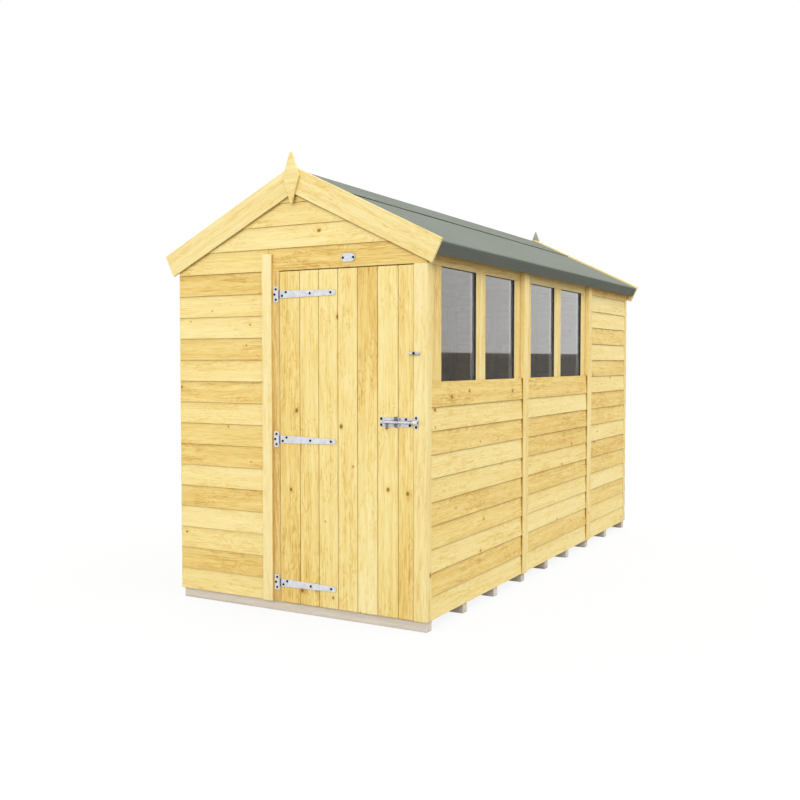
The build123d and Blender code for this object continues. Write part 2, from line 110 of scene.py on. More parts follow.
pine = {
    "ringScale": 38.0,        # one ring is about 0.314 / ringScale metres wide
    "ringWander": 6.0,
    "ringStretch": 0.22,      # less draws the rings' wanderings out along the board
    "ringBend": 5.0,          # how far a knot pushes the rings on
    "knotSpacing": 0.15,      # metres between places where a knot may sit
    "knotStretch": 0.75,
    "knotScatter": 0.85,
    "knotShare": 0.19,        # share of those places that have one
    "knotSizes": (0.018, 0.056),   # radius as a share of the spacing
    "knotRings": 4.0,
    "knotRingLow": 0.45,
    "knotColour": screen(104, 62, 24),
    "knotHalo": screen(212, 158, 70),
    "haloDepth": 0.14,
    "bumpHeight": 0.0004,
    "bumpStrength": 0.5,
    "lateRelief": 0.5,
    "specular": 0.25,
    "figureLines": 13.0,      # contour lines of the swirling figure, from end to end of its noise
    "paintedShadeReach": 0.022,     # how far from a corner or joint the wood gets painted shade
    "paintedShadeStart": 0.97,
    # the brown that the painted shade multiplies into the colour
    "paintedShadeColour": (0.50, 0.40, 0.26, 1.0),
    # where parts of a knot begin and are full, in its radii
    "core": (1.06, 0.82), "ring": (1.9, 0.95), "halo": (4.5, 0.8),
    # noises: fineness along, across and through the board, detail, roughness, bend
    "patches": ((4, 17, 17), 2.0, 0.5, 0.0), "broad": ((1.6, 34, 34), 3.0, 0.5, 0.0),
    "curl": ((11, 90, 90), 3.0, 0.6, 0.7), "fine": ((9, 260, 260), 5.0, 0.5, 0.0),
    "short": ((38, 190, 190), 2.0, 0.5, 0.6), "swirl": ((6, 24, 24), 2.0, 0.5, 0.6),
    "zones": ((2.6, 8, 8), 1.0, 0.5, 0.0),
    # levels at which a wave or noise begins to show and is full
    "lateWood": (0.40, 1.0), "latePatches": (0.34, 0.62), "flecks": (0.54, 0.74), "fleckPatches": (0.60, 0.40),
    "figure": (0.35, 1.0), "figureZones": (0.42, 0.58), "swing": (0.25, 0.75), "polish": (0.2, 0.8),
}


def grainNoise(tree, grain, kind):
    # noise drawn out along the board
    fineness, detail, roughness, bend = pine[kind]
    inputs = {"Vector": scaled(tree, grain, fineness), "Scale": 1.0, "Detail": detail, "Roughness": roughness}
    return add(tree, "TexNoise", {**inputs, "Distortion": bend}).outputs["Fac"]


def pineMaterial(
    name, stops, rings=0.20, streaks=0.22, mottle=0.20, dashes=0.20, fibres=0.26, figure=0.20, knots=1.0, paintedShadeDepth=0.80,
    roughness=(0.50, 0.66),
):
    # a depth from pale to dark picks the colour: the board's tone, with late wood, figure, streaks, mottle, fibres,
    # dashes and the knots' halos added; knots lie over it, and corners and joints get painted shade
    material, tree, shader = newMaterial(name)
    grain = add(tree, "Attribute", attribute_name="grain").outputs["Vector"]
    heart = add(tree, "Attribute", attribute_name="heart").outputs["Vector"]
    tone = add(tree, "Attribute", attribute_name="tone").outputs["Fac"]

    spacing = pine["knotSpacing"]
    cells = add(tree, "TexVoronoi", {
        "Vector": scaled(tree, grain, (pine["knotStretch"] / spacing, 1 / spacing, 0)), "Scale": 1.0,
        "Randomness": pine["knotScatter"],
    }, voronoi_dimensions="2D", feature="F1")
    pick = add(tree, "SeparateColor", {"Color": cells.outputs["Color"]})
    present = calc(tree, "LESS_THAN", pick.outputs["Red"], pine["knotShare"] * knots)
    size = ease(tree, pick.outputs["Green"], 0.0, 1.0, *pine["knotSizes"])
    apart = calc(tree, "DIVIDE", cells.outputs["Distance"], size)
    core, ring, halo = (
        calc(tree, "MULTIPLY", ease(tree, apart, *pine[part]), present) for part in ("core", "ring", "halo")
    )
    knotRings = calc(tree, "PINGPONG", calc(tree, "MULTIPLY", apart, pine["knotRings"]), 1.0)
    core = calc(tree, "MULTIPLY", core, ease(tree, knotRings, 0.0, 1.0, pine["knotRingLow"], 1.0))

    ringWave = add(tree, "TexWave", {
        "Vector": scaled(tree, heart, (pine["ringStretch"], 1, 1)), "Scale": pine["ringScale"],
        "Distortion": pine["ringWander"], "Detail": 4.0, "Detail Scale": 0.75,
        "Phase Offset": calc(tree, "MULTIPLY", halo, pine["ringBend"]),
    }, wave_type="RINGS", rings_direction="X", wave_profile="SAW").outputs["Fac"]
    patches, broad, curl, fine, short, swirl, zones = (
        grainNoise(tree, grain, kind) for kind in ("patches", "broad", "curl", "fine", "short", "swirl", "zones")
    )

    def shown(first, firstLevels, second, secondLevels):
        # one pattern, only where another allows it
        return calc(tree, "MULTIPLY", ease(tree, first, *pine[firstLevels]), ease(tree, second, *pine[secondLevels]))

    lateWood = shown(ringWave, "lateWood", patches, "latePatches")
    flecks = shown(short, "flecks", patches, "fleckPatches")
    contour = calc(tree, "PINGPONG", calc(tree, "MULTIPLY", swirl, pine["figureLines"]), 1.0)
    contour = shown(contour, "figure", zones, "figureZones")

    depth = calc(tree, "ADD", tone, calc(tree, "MULTIPLY", lateWood, rings))
    depth = calc(tree, "ADD", depth, ease(tree, contour, 0.0, 1.0, -figure / 5, 4 * figure / 5))
    for noise, amount in ((broad, streaks), (curl, mottle), (fine, fibres)):
        depth = calc(tree, "ADD", depth, ease(tree, noise, *pine["swing"], -amount / 2, amount / 2))
    depth = calc(tree, "ADD", depth, calc(tree, "MULTIPLY", flecks, dashes))
    depth = calc(tree, "ADD", depth, calc(tree, "MULTIPLY", halo, pine["haloDepth"]), clamp=True)
    colour = ramp(tree, depth, stops)
    for share, amount, knotPart in ((0.6, ring, pine["knotHalo"]), (0.95, core, pine["knotColour"])):
        colour = blended(tree, calc(tree, "MULTIPLY", amount, share), colour, knotPart)
    # painted shade: ambient occlusion darkens the colour in corners, joints and under the laps
    shade = paintedCornerShade(tree, pine["paintedShadeReach"], pine["paintedShadeStart"], paintedShadeDepth)
    colour = blended(tree, shade, colour, pine["paintedShadeColour"], "MULTIPLY")

    relief = calc(tree, "ADD", calc(tree, "MULTIPLY", lateWood, pine["lateRelief"]), fine)
    bump = add(tree, "Bump", {"Height": relief, "Distance": pine["bumpHeight"], "Strength": pine["bumpStrength"]})
    tree.links.new(colour, shader.inputs["Base Color"])
    tree.links.new(ease(tree, fine, *pine["polish"], *roughness), shader.inputs["Roughness"])
    tree.links.new(bump.outputs["Normal"], shader.inputs["Normal"])
    shader.inputs["Specular IOR Level"].default_value = pine["specular"]
    return material


boardWood = pineMaterial("overlapBoards", [
    (0.00, screen(254, 236, 172)), (0.35, screen(247, 222, 145)),
    (0.65, screen(236, 202, 117)), (1.00, screen(206, 162, 80)),
])
doorWood = pineMaterial("doorBoards", [
    (0.00, screen(255, 239, 177)), (0.35, screen(249, 225, 147)),
    (0.65, screen(237, 202, 115)), (1.00, screen(204, 158, 74)),
], rings=0.20, streaks=0.26, mottle=0.24, dashes=0.18, fibres=0.28, figure=0.20, knots=1.5)
trimWood = pineMaterial("planedTrim", [
    (0.00, screen(254, 237, 178)), (0.35, screen(247, 224, 152)),
    (0.65, screen(237, 205, 126)), (1.00, screen(208, 166, 88)),
], rings=0.20, streaks=0.34, mottle=0.26, dashes=0.22, fibres=0.32, figure=0.16, knots=0.15, paintedShadeDepth=0.45)
frameWood = pineMaterial("sawnFrame", [
    (0.00, screen(246, 228, 172)), (0.40, screen(236, 208, 140)),
    (0.70, screen(218, 180, 108)), (1.00, screen(180, 134, 72)),
], roughness=(0.66, 0.80))
bearerWood = pineMaterial("treatedBearers", [
    (0.00, screen(232, 221, 206)), (0.40, screen(222, 210, 193)),
    (0.70, screen(206, 190, 170)), (1.00, screen(172, 152, 130)),
], streaks=0.40, mottle=0.40, knots=0.0, paintedShadeDepth=0.35, roughness=(0.70, 0.85))
greyWood = pineMaterial("greyedPine", [
    (0.00, screen(178, 178, 175)), (0.40, screen(160, 160, 157)),
    (0.70, screen(140, 140, 137)), (1.00, screen(112, 111, 108)),
], roughness=(0.70, 0.85))


# Mineral felt, zinc, screws, glass and its rubber strip

felt = {
    "colour": (screen(112, 118, 108), screen(133, 139, 128)), "granule": 0.0016, "blotch": 0.45, "speckleShare": 0.55,
    "bumpHeight": 0.0006, "bumpStrength": 0.6, "roughness": 0.92, "specular": 0.2,
    "thickness": 0.003, "fold": 0.0095, "buckle": 0.0006,
    "stations": 80, "slopeStations": 24, "foldStations": 9, "dropStations": 6, "capStations": 61,
    "capLift": 0.0024, "capCurl": 0.045, "capUneven": 200, "capThickness": 0.0023, "capRound": 0.003,
}


def feltMaterial(name, darker=1.0):
    # granules, each with its own shade, and broad blotches
    material, tree, shader = newMaterial(name)
    place = add(tree, "TexCoord").outputs["Object"]
    granules = add(tree, "TexVoronoi", {"Vector": place, "Scale": 1 / felt["granule"]})
    speckle = add(tree, "SeparateColor", {"Color": granules.outputs["Color"]}).outputs["Red"]
    blotches = add(tree, "TexNoise", {"Vector": place, "Scale": 1 / felt["blotch"], "Detail": 5.0, "Roughness": 0.6})
    speckle = calc(tree, "MULTIPLY", speckle, felt["speckleShare"])
    blotch = calc(tree, "MULTIPLY", blotches.outputs["Fac"], 1 - felt["speckleShare"])
    low, high = ([part * darker for part in colour[:3]] + [1.0] for colour in felt["colour"])
    colour = ramp(tree, calc(tree, "ADD", speckle, blotch), [(0.15, low), (0.85, high)])
    tree.links.new(colour, shader.inputs["Base Color"])
    bump = add(tree, "Bump", {
        "Height": granules.outputs["Distance"], "Distance": felt["bumpHeight"], "Strength": felt["bumpStrength"],
    })
    tree.links.new(bump.outputs["Normal"], shader.inputs["Normal"])
    shader.inputs["Roughness"].default_value = felt["roughness"]
    shader.inputs["Specular IOR Level"].default_value = felt["specular"]
    return material


roofFelt = feltMaterial("mineralFelt")
# the same felt, painted darker as shade, for the drop over the eaves that faces down
paintedShadeDropFelt = feltMaterial("eavesFeltPaintedShade", 0.82)
capFelt = feltMaterial("capFelt", 0.96)
# bitumen for the cap's underside and cut edges, dark enough to paint the shade line under the edges too
bitumenAndShade = feltMaterial("bitumenEdgeAndShade", 0.30)

metal = {
    "zinc": (screen(206, 208, 212), screen(224, 226, 229)), "aged": (screen(192, 194, 201), screen(212, 214, 219)),
    "dullAndShaded": (screen(106, 104, 118), screen(130, 128, 140)), "screw": (screen(24, 27, 36), screen(44, 48, 58)),
    "spangle": 0.015, "spangleBend": 0.35, "skin": 0.55,
    # painted shade round the hardware: its reach, start, depth and colour
    "paintedShadeReach": 0.010, "paintedShadeStart": 0.95, "paintedShadeDepth": 0.9, "paintedShadeColour": (0.30, 0.30, 0.33, 1.0),
}


def metalMaterial(name, colours, cell, roughness, sheen=1.0):
    # a crystal pattern of cells, each with its own brightness and polish; bare metal has a sheen of 1, a dulled skin
    # less
    material, tree, shader = newMaterial(name)
    place = add(tree, "TexCoord").outputs["Object"]
    bent = add(tree, "TexNoise", {"Vector": place, "Scale": 3 / cell, "Detail": 2.0}).outputs["Color"]
    shift = add(tree, "VectorMath", {0: bent, "Scale": metal["spangleBend"] * cell}, operation="SCALE").outputs[0]
    shifted = add(tree, "VectorMath", {0: place, 1: shift}, operation="ADD").outputs[0]
    cells = add(tree, "TexVoronoi", {"Vector": shifted, "Scale": 1 / cell})
    pick = add(tree, "SeparateColor", {"Color": cells.outputs["Color"]})
    colour = ramp(tree, pick.outputs["Red"], [(0.0, colours[0]), (1.0, colours[1])])
    # painted shade: ambient occlusion darkens the metal round the rod, the guides and the screw heads
    shade = paintedCornerShade(tree, metal["paintedShadeReach"], metal["paintedShadeStart"], metal["paintedShadeDepth"])
    tree.links.new(blended(tree, shade, colour, metal["paintedShadeColour"], "MULTIPLY"), shader.inputs["Base Color"])
    tree.links.new(ease(tree, pick.outputs["Green"], 0.0, 1.0, *roughness), shader.inputs["Roughness"])
    shader.inputs["Metallic"].default_value = sheen
    return material


zinc = metalMaterial("zinc", metal["zinc"], metal["spangle"], (0.42, 0.54), metal["skin"])
agedZinc = metalMaterial("agedZinc", metal["aged"], metal["spangle"], (0.40, 0.52), metal["skin"])
# dark dull zinc for pins and rivets, also painted shade on hinge knuckles, guide flanks and the handle under the rod
dullZincAndPaintedShade = metalMaterial("dullZincAndPaintedShade", metal["dullAndShaded"], metal["spangle"], (0.38, 0.5))
screwMetal = metalMaterial("screwHeads", metal["screw"], metal["spangle"] / 4, (0.35, 0.5))

glass = {
    "tint": screen(246, 247, 247), "rubberAndShade": (screen(46, 41, 34), screen(70, 63, 52)),
    "lining": (screen(206, 206, 204), screen(226, 226, 224)), "waveHeight": 0.0004,
}


def glassMaterial(name):
    material, tree, shader = newMaterial(name)
    place = add(tree, "TexCoord").outputs["Object"]
    waves = add(tree, "TexNoise", {"Vector": scaled(tree, place, (1, 2, 1)), "Scale": 3.0, "Detail": 1.0})
    smears = add(tree, "TexNoise", {"Vector": place, "Scale": 9.0, "Detail": 4.0})
    bump = add(tree, "Bump", {"Height": waves.outputs["Fac"], "Distance": glass["waveHeight"], "Strength": 0.3})
    tree.links.new(bump.outputs["Normal"], shader.inputs["Normal"])
    tree.links.new(ease(tree, smears.outputs["Fac"], 0.3, 0.8, 0.01, 0.05), shader.inputs["Roughness"])
    shader.inputs["Base Color"].default_value = glass["tint"]
    shader.inputs["Transmission Weight"].default_value = 1.0
    shader.inputs["IOR"].default_value = 1.5
    shader.inputs["Coat Weight"].default_value = 1.0
    shader.inputs["Coat Roughness"].default_value = 0.02
    return material


def dustyMaterial(name, colours, fineness, detail, roughness):
    # two shades and a polish that follow one cloudy noise
    material, tree, shader = newMaterial(name)
    place = add(tree, "TexCoord").outputs["Object"]
    dust = add(tree, "TexNoise", {"Vector": place, "Scale": fineness, "Detail": detail}).outputs["Fac"]
    tree.links.new(ramp(tree, dust, [(0.3, colours[0]), (0.8, colours[1])]), shader.inputs["Base Color"])
    tree.links.new(ease(tree, dust, 0.3, 0.8, *roughness), shader.inputs["Roughness"])
    return material


paneGlass = glassMaterial("paneGlass")
# the rubber strip round each pane, its brown dark partly painted shade for the reveal's wood in shadow
paneRubberAndShade = dustyMaterial("glazingRubberAndShade", glass["rubberAndShade"], 60.0, 4.0, (0.55, 0.75))
paneLining = dustyMaterial("paneLining", glass["lining"], 40.0, 3.0, (0.6, 0.75))
print("materials made")


# Shapes

def solidsOf(node):
    # a CAD node's points, faces and the number of the solid each point is on: doubles are merged, then every face
    # hands the lowest number among its corners to all of them until no number changes
    mesh = nodes[node].data
    points = np.empty(3 * len(mesh.vertices))
    corners = np.empty(len(mesh.loops), int)
    mesh.vertices.foreach_get("co", points)
    mesh.loops.foreach_get("vertex_index", corners)
    points, merged = np.unique(points.reshape(-1, 3).round(5), axis=0, return_inverse=True)
    faces = merged.ravel()[corners].reshape(-1, 3)
    faces = faces[(faces != np.roll(faces, 1, axis=1)).all(1)]   # without slivers that the merging closed
    number = np.arange(len(points))
    before = None
    while before is None or (before != number).any():
        before = number.copy()
        np.minimum.at(number, faces, np.repeat(number[faces].min(1)[:, None], 3, axis=1))
    return points, faces, np.unique(number, return_inverse=True)[1].ravel()


def boxesOf(node):
    # lowest and highest corner of each solid of a CAD node, in the order of their middles along Y, then X, then Z
    points, _, number = solidsOf(node)
    boxes = np.array([[points[number == one].min(0), points[number == one].max(0)] for one in range(number.max() + 1)])
    middle = boxes.mean(1).round(4)
    return boxes[np.lexsort((middle[:, 2], middle[:, 0], middle[:, 1]))]


def bars(starts, spans, widths, depths, rounding, startCuts=0.0, endCuts=0.0):
    # straight boards: start + s along + a across + o outwards, with (a, o) carried round a rectangle with rounded
    # corners and s at four stations, of which the end ones are drawn in; a cut shifts an end along by cut times a
    sets = (np.atleast_2d(some).astype(float) for some in (starts, spans, widths, depths))
    starts, spans, widths, depths = np.broadcast_arrays(*sets)
    count = len(starts)
    length, width, depth = (np.linalg.norm(v, axis=1)[:, None, None] for v in (spans, widths, depths))
    quarter = np.radians([0, 45, 90])
    turn = np.concatenate([quarter + math.radians(first) for first in (180, 270, 0, 90)])[None, None]
    sideA, sideO = (np.repeat(side, 3)[None, None] for side in ([-1, 1, 1, -1], [-1, -1, 1, 1]))
    radius = rounding * np.array([0.3, 1, 1, 0.3])[None, :, None]
    a = width / 2 + sideA * (width / 2 - rounding) + radius * np.cos(turn)
    o = depth / 2 + sideO * (depth / 2 - rounding) + radius * np.sin(turn)
    cuts = np.stack([np.broadcast_to(startCuts, count)] * 2 + [np.broadcast_to(endCuts, count)] * 2, axis=1)[:, :, None]
    s = length * np.array([0, 0, 1, 1])[None, :, None] + rounding * np.array([0, 1, -1, 0])[None, :, None] + cuts * a
    along, across, out = ((v / np.linalg.norm(v, axis=1)[:, None])[:, None, None, :] for v in (spans, widths, depths))
    points = starts[:, None, None, :] + s[..., None] * along + a[..., None] * across + o[..., None] * out

    stations, round12 = points.shape[1:3]
    index = np.arange(count * stations * round12).reshape(count, stations, round12)
    ahead = np.roll(index, -1, axis=2)
    sides = np.stack([index[:, :-1], ahead[:, :-1], ahead[:, 1:], index[:, 1:]], axis=-1).reshape(count, -1, 4)
    caps = np.stack([index[:, 0, ::-1], index[:, -1]], axis=1)
    turned = np.einsum("ij,ij->i", np.cross(widths, depths), spans) < 0   # left-handed boards have their faces turned
    sides = np.where(turned[:, None, None], sides[..., ::-1], sides).reshape(-1, 4)
    caps = np.where(turned[:, None, None], caps[..., ::-1], caps).reshape(-1, round12)
    number = np.repeat(np.arange(count), stations * round12)
    return points.reshape(-1, 3), sides.tolist() + caps.tolist(), number


def prisms(sections, bottom, top):
    # upright bars: each section, a ring of points in X and Y that runs against the clock seen from above, carried from
    # the bottom to the top
    sections = np.asarray(sections, float)
    count, corners = sections.shape[:2]
    levels = np.broadcast_to(np.array([bottom, top])[None, :, None, None], (count, 2, corners, 1))
    points = np.concatenate([np.repeat(sections[:, None], 2, axis=1), levels], axis=-1)
    index = np.arange(count * 2 * corners).reshape(count, 2, corners)
    ahead = np.roll(index, -1, axis=2)
    sides = np.stack([index[:, 0], ahead[:, 0], ahead[:, 1], index[:, 1]], axis=-1).reshape(-1, 4)
    caps = np.concatenate([index[:, 0, ::-1], index[:, 1]])
    return points.reshape(-1, 3), sides.tolist() + caps.tolist(), np.repeat(np.arange(count), 2 * corners)


def joined(*parts):
    # several sets of points, faces and board numbers as one
    points, faces, number, base, boards = [], [], [], 0, 0
    for somePoints, someFaces, someNumber in parts:
        points.append(somePoints)
        faces += [[corner + base for corner in face] for face in someFaces]
        number.append(someNumber + boards)
        base += len(somePoints)
        boards += someNumber.max() + 1
    return np.concatenate(points), faces, np.concatenate(number)


def sheetBetween(outer, inner):
    # a closed sheet: two grids with the same rows (along Y) and columns (towards +X), and strips that join their four
    # edges; the last value tells the outer face from the rest
    rows, columns = outer.shape[:2]
    top = np.arange(rows * columns).reshape(rows, columns)
    low = top + rows * columns
    strips = [
        (top[:-1, :-1], top[:-1, 1:], top[1:, 1:], top[1:, :-1]),
        (low[:-1, :-1], low[1:, :-1], low[1:, 1:], low[:-1, 1:]),
        (top[0, :-1], low[0, :-1], low[0, 1:], top[0, 1:]),
        (top[-1, :-1], top[-1, 1:], low[-1, 1:], low[-1, :-1]),
        (top[:-1, 0], top[1:, 0], low[1:, 0], low[:-1, 0]),
        (top[:-1, -1], low[:-1, -1], low[1:, -1], top[1:, -1]),
    ]
    quads = [np.stack(strip, axis=-1).reshape(-1, 4) for strip in strips]
    hidden = np.repeat([0, 1, 1, 1, 1, 1], [len(some) for some in quads])
    return np.concatenate([outer.reshape(-1, 3), inner.reshape(-1, 3)]), np.concatenate(quads), hidden


def meshObject(name, points, faces, material):
    mesh = bpy.data.meshes.new(name)
    mesh.from_pydata(np.asarray(points).tolist(), [], faces if isinstance(faces, list) else faces.tolist())
    mesh.materials.append(material)
    piece = bpy.data.objects.new(name, mesh)
    bpy.context.scene.collection.objects.link(piece)
    return piece


def putPiece(name, points, faces, material, body, replaced=()):
    piece = meshObject(name, points, faces, material)
    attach(piece, body)
    if replaced:
        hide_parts(*replaced)
    return piece


def smooth(piece, degrees=15):
    mesh = piece.data
    mesh.polygons.foreach_set("use_smooth", np.ones(len(mesh.polygons), bool))
    mesh.set_sharp_from_angle(angle=math.radians(degrees))


logs = {"heartDepth": (0.02, 0.13), "heartAside": 0.8, "lean": 0.03, "shift": 20.0, "toneSpread": 0.06}


def markGrain(piece, number, tones, seed, crosswise=False):
    # each board is laid in its own log: its long axis runs by a heart that lies some way behind one face and leans,
    # so rings open into arches on the face and show as arcs on the ends; a board has one tone, or one for its foot and
    # one for its head
    mesh = piece.data
    tones = np.asarray(tones, float).reshape(len(tones), -1)
    draw = np.random.default_rng(seed)
    aside, lean, shift = logs["heartAside"], logs["lean"], logs["shift"]
    points = np.empty(3 * len(mesh.vertices))
    mesh.vertices.foreach_get("co", points)
    points = points.reshape(-1, 3)
    grain, heart, tone = np.empty_like(points), np.empty_like(points), np.empty(len(points))
    for one in range(number.max() + 1):
        mine = number == one
        local = points[mine] - points[mine].mean(0)
        rise = (local[:, 2] - local[:, 2].min()) / max(np.ptp(local[:, 2]), 1e-6)
        tone[mine] = tones[one][0] * (1 - rise) + tones[one][-1] * rise
        axes = np.linalg.svd(local, full_matrices=False)[2]
        local = local @ (axes[[1, 0, 2]] if crosswise else axes).T
        grain[mine] = local + draw.uniform(-shift, shift, 3)
        sideways = draw.uniform(-aside, aside) * np.ptp(local[:, 1])
        offset = np.array([0, sideways, draw.choice([-1, 1]) * draw.uniform(*logs["heartDepth"])])
        tilt = np.array([0, draw.uniform(-lean, lean) / 2, draw.uniform(-lean, lean)])
        heart[mine] = local + offset + local[:, :1] * tilt + [draw.uniform(-shift, shift), 0, 0]
    for label, kind, values in (("grain", "vector", grain), ("heart", "vector", heart), ("tone", "value", tone)):
        made = mesh.attributes.new(label, "FLOAT_VECTOR" if kind == "vector" else "FLOAT", "POINT")
        made.data.foreach_set(kind, values.ravel().astype(np.float32))


def drawTones(count, seed, low, high):
    # board tones from pale to tan, with the row's shares spread evenly before they are shuffled
    draw, spread = np.random.default_rng(seed), logs["toneSpread"]
    return draw.permutation(np.linspace(low, high, count)) + draw.uniform(-spread, spread, count)


eased = {"segments": 2, "sharpest": 50, "flattest": 1}   # the last two in degrees


def dressNode(
    node, material, body, edge, tones=None, drift=0.0, seed=0, smoothAngle=None, crosswise=False,
):
    # a copy of a CAD node with its flat faces made whole, its edges eased by a bevel and its own finish; wood that
    # drifts is deeper in tone at its foot than at its head
    points, faces, number = solidsOf(node)
    piece = putPiece(node + "_dressed", points, faces, material, body, [node])
    if tones is not None:
        low, high = tones
        tones = drawTones(number.max() + 1, seed, low, high)[:, None] + [drift, -drift]
        markGrain(piece, number, tones, seed, crosswise=crosswise)
    shell = bmesh.new()
    shell.from_mesh(piece.data)
    flattest = math.radians(eased["flattest"])
    bmesh.ops.dissolve_limit(shell, angle_limit=flattest, verts=shell.verts, edges=shell.edges)
    shell.to_mesh(piece.data)
    shell.free()
    if smoothAngle:
        smooth(piece, smoothAngle)
    bevel = piece.modifiers.new("easedEdges", "BEVEL")
    bevel.width, bevel.segments, bevel.limit_method = edge, eased["segments"], "ANGLE"
    bevel.angle_limit = math.radians(eased["sharpest"])
    bevel.harden_normals = bool(smoothAngle)
    return piece


def secondFinish(piece, material, chosen):
    # another material on the faces that the test picks by their middles and normals
    mesh = piece.data
    middles, normals = np.empty(3 * len(mesh.polygons)), np.empty(3 * len(mesh.polygons))
    mesh.polygons.foreach_get("center", middles)
    mesh.polygons.foreach_get("normal", normals)
    mesh.materials.append(material)
    picked = chosen(middles.reshape(-1, 3), normals.reshape(-1, 3))
    mesh.polygons.foreach_set("material_index", picked.astype(np.int32))


# Overlapped boards of the four walls

cladding = {
    "cover": 0.1124, "lap": 0.0116, "thickness": 0.0050, "lean": 0.0066, "rounding": 0.0013, "endGap": 0.0008,
    "bead": 0.006, "beadProud": 0.0045, "beadBack": 0.004, "beadTone": 0.1,
    "roofPitch": 26.12,
    "pale": 0.24, "tan": 0.56, "spread": 0.07, "gableFoot": (0.34, 0.60),
    "frontTan": (1, 4, 6, 7, 9, 11, 14),      # rows from the foot that are tan boards
    "gableTan": (2,),
    "sideTan": ((1, 3, 4, 7, 9, 12, 13, 15), (1, 4, 6, 7, 9, 11, 14), (2, 4, 5, 7, 8, 10, 12, 15)),   # panel by panel
    "rearTan": (2, 4, 5, 7, 8, 10, 12, 15, 17),
}
pitchTan = math.tan(math.radians(cladding["roofPitch"]))


def lappedWall(low, high, out, ridgeZ=None):
    # rows of leaning boards on one face of a wall: each laps over the one below, with its foot at the wall's face and
    # its head leaning in; under a ridge the ends are cut along the roof
    out = np.array(out, float)
    along = np.abs(np.cross(up, out))
    foot, top = low[2], high[2]
    board = cladding["cover"] + cladding["lap"]
    rise = np.arange(foot, top - cladding["lap"], cladding["cover"])
    height = np.minimum(board, top - rise)
    wallFace = (np.where(out > 0, high, low) * np.abs(out)).sum() * np.sign(out.sum())
    base = np.outer(rise, up) + (wallFace - cladding["thickness"]) * out
    widths = height[:, None] * up - (cladding["lean"] * height / board)[:, None] * out
    near = np.full(len(rise), low @ along + cladding["endGap"])
    far = np.full(len(rise), high @ along - cladding["endGap"])
    cut = np.zeros(len(rise))
    if ridgeZ is not None:
        reach = (ridgeZ - rise) / pitchTan
        cut = np.where(reach < far + cladding["cover"], 1 / pitchTan, 0.0)
        near, far = np.maximum(near, -reach), np.minimum(far, reach)
    starts = base + near[:, None] * along
    spans = (far - near)[:, None] * along
    return bars(starts, spans, widths, cladding["thickness"] * out, cladding["rounding"], cut, -cut)


def rowTones(part, tanRows, seed):
    # pale boards with some rows of tan ones, each a little off its fellows
    count = part[2].max() + 1
    tones = np.where(np.isin(np.arange(count), tanRows), cladding["tan"], cladding["pale"])
    return tones + np.random.default_rng(seed).uniform(-1, 1, count) * cladding["spread"]


def wallPiece(name, parts, tones, seed, replaced):
    points, faces, number = joined(*parts)
    piece = putPiece(name, points, faces, boardWood, "shed", replaced)
    markGrain(piece, number, tones, seed)
    smooth(piece)


roofBase = boxesOf("front_gable_cladding")[0]
ridgeUnder = roofBase[1][2]

# beside the door, with a thin bead at the corner
low, high = boxesOf("front_left_cladding")[0]
beside = lappedWall(low + [cladding["bead"] - cladding["beadProud"] - cladding["endGap"], 0, 0], high, (0, -1, 0))
wallPiece("frontBoards", [beside], rowTones(beside, cladding["frontTan"], 4), 11, ["front_left_cladding"])
bead = bars(
    low + [-cladding["beadProud"], cladding["beadBack"], 0], (high[2] - low[2]) * up, (cladding["bead"], 0, 0),
    (0, high[1] - low[1] - cladding["beadBack"], 0), cladding["rounding"],
)
piece = putPiece("cornerBead", bead[0], bead[1], trimWood, "shed")
markGrain(piece, bead[2], [cladding["beadTone"]], 12)

# gable over the door: the first row is two boards that meet behind the cover strip
low, high = roofBase
stripLow, stripHigh = boxesOf("front_cover_strip")[0]
meeting = (stripLow[0] + stripHigh[0]) / 2
eavesZ = high[2] - high[0] * pitchTan
rowTop = np.array([0, 0, min(low[2] + cladding["cover"] + cladding["lap"], eavesZ) - high[2]])
leftHead = lappedWall(low, np.array([meeting, high[1], high[2]]) + rowTop, (0, -1, 0))
rightHead = lappedWall(np.array([meeting, low[1], low[2]]), high + rowTop, (0, -1, 0))
above = lappedWall(low + [0, 0, cladding["cover"]], high, (0, -1, 0), ridgeUnder)
tones = np.concatenate([cladding["gableFoot"], rowTones(above, cladding["gableTan"], 8)])
wallPiece("gableBoards", [leftHead, rightHead, above], tones, 13, ["front_gable_cladding"])

# side walls, panel by panel, and the rear wall
for name, node, out, seed in (
    ("rightBoards", "right_cladding", (1, 0, 0), 21), ("leftBoards", "left_cladding", (-1, 0, 0), 31),
):
    parts = [lappedWall(*box, out) for box in boxesOf(node)]
    rows = enumerate(zip(parts, cladding["sideTan"]))
    tones = np.concatenate([rowTones(part, tanRows, seed + step) for step, (part, tanRows) in rows])
    wallPiece(name, parts, tones, seed, [node])
rear = lappedWall(*boxesOf("rear_cladding")[0], (0, 1, 0), ridgeUnder)
wallPiece("rearBoards", [rear], rowTones(rear, cladding["rearTan"], 41), 41, ["rear_cladding"])
print("wall boards laid")


# Door boards, tongued together with a small groove at each joint

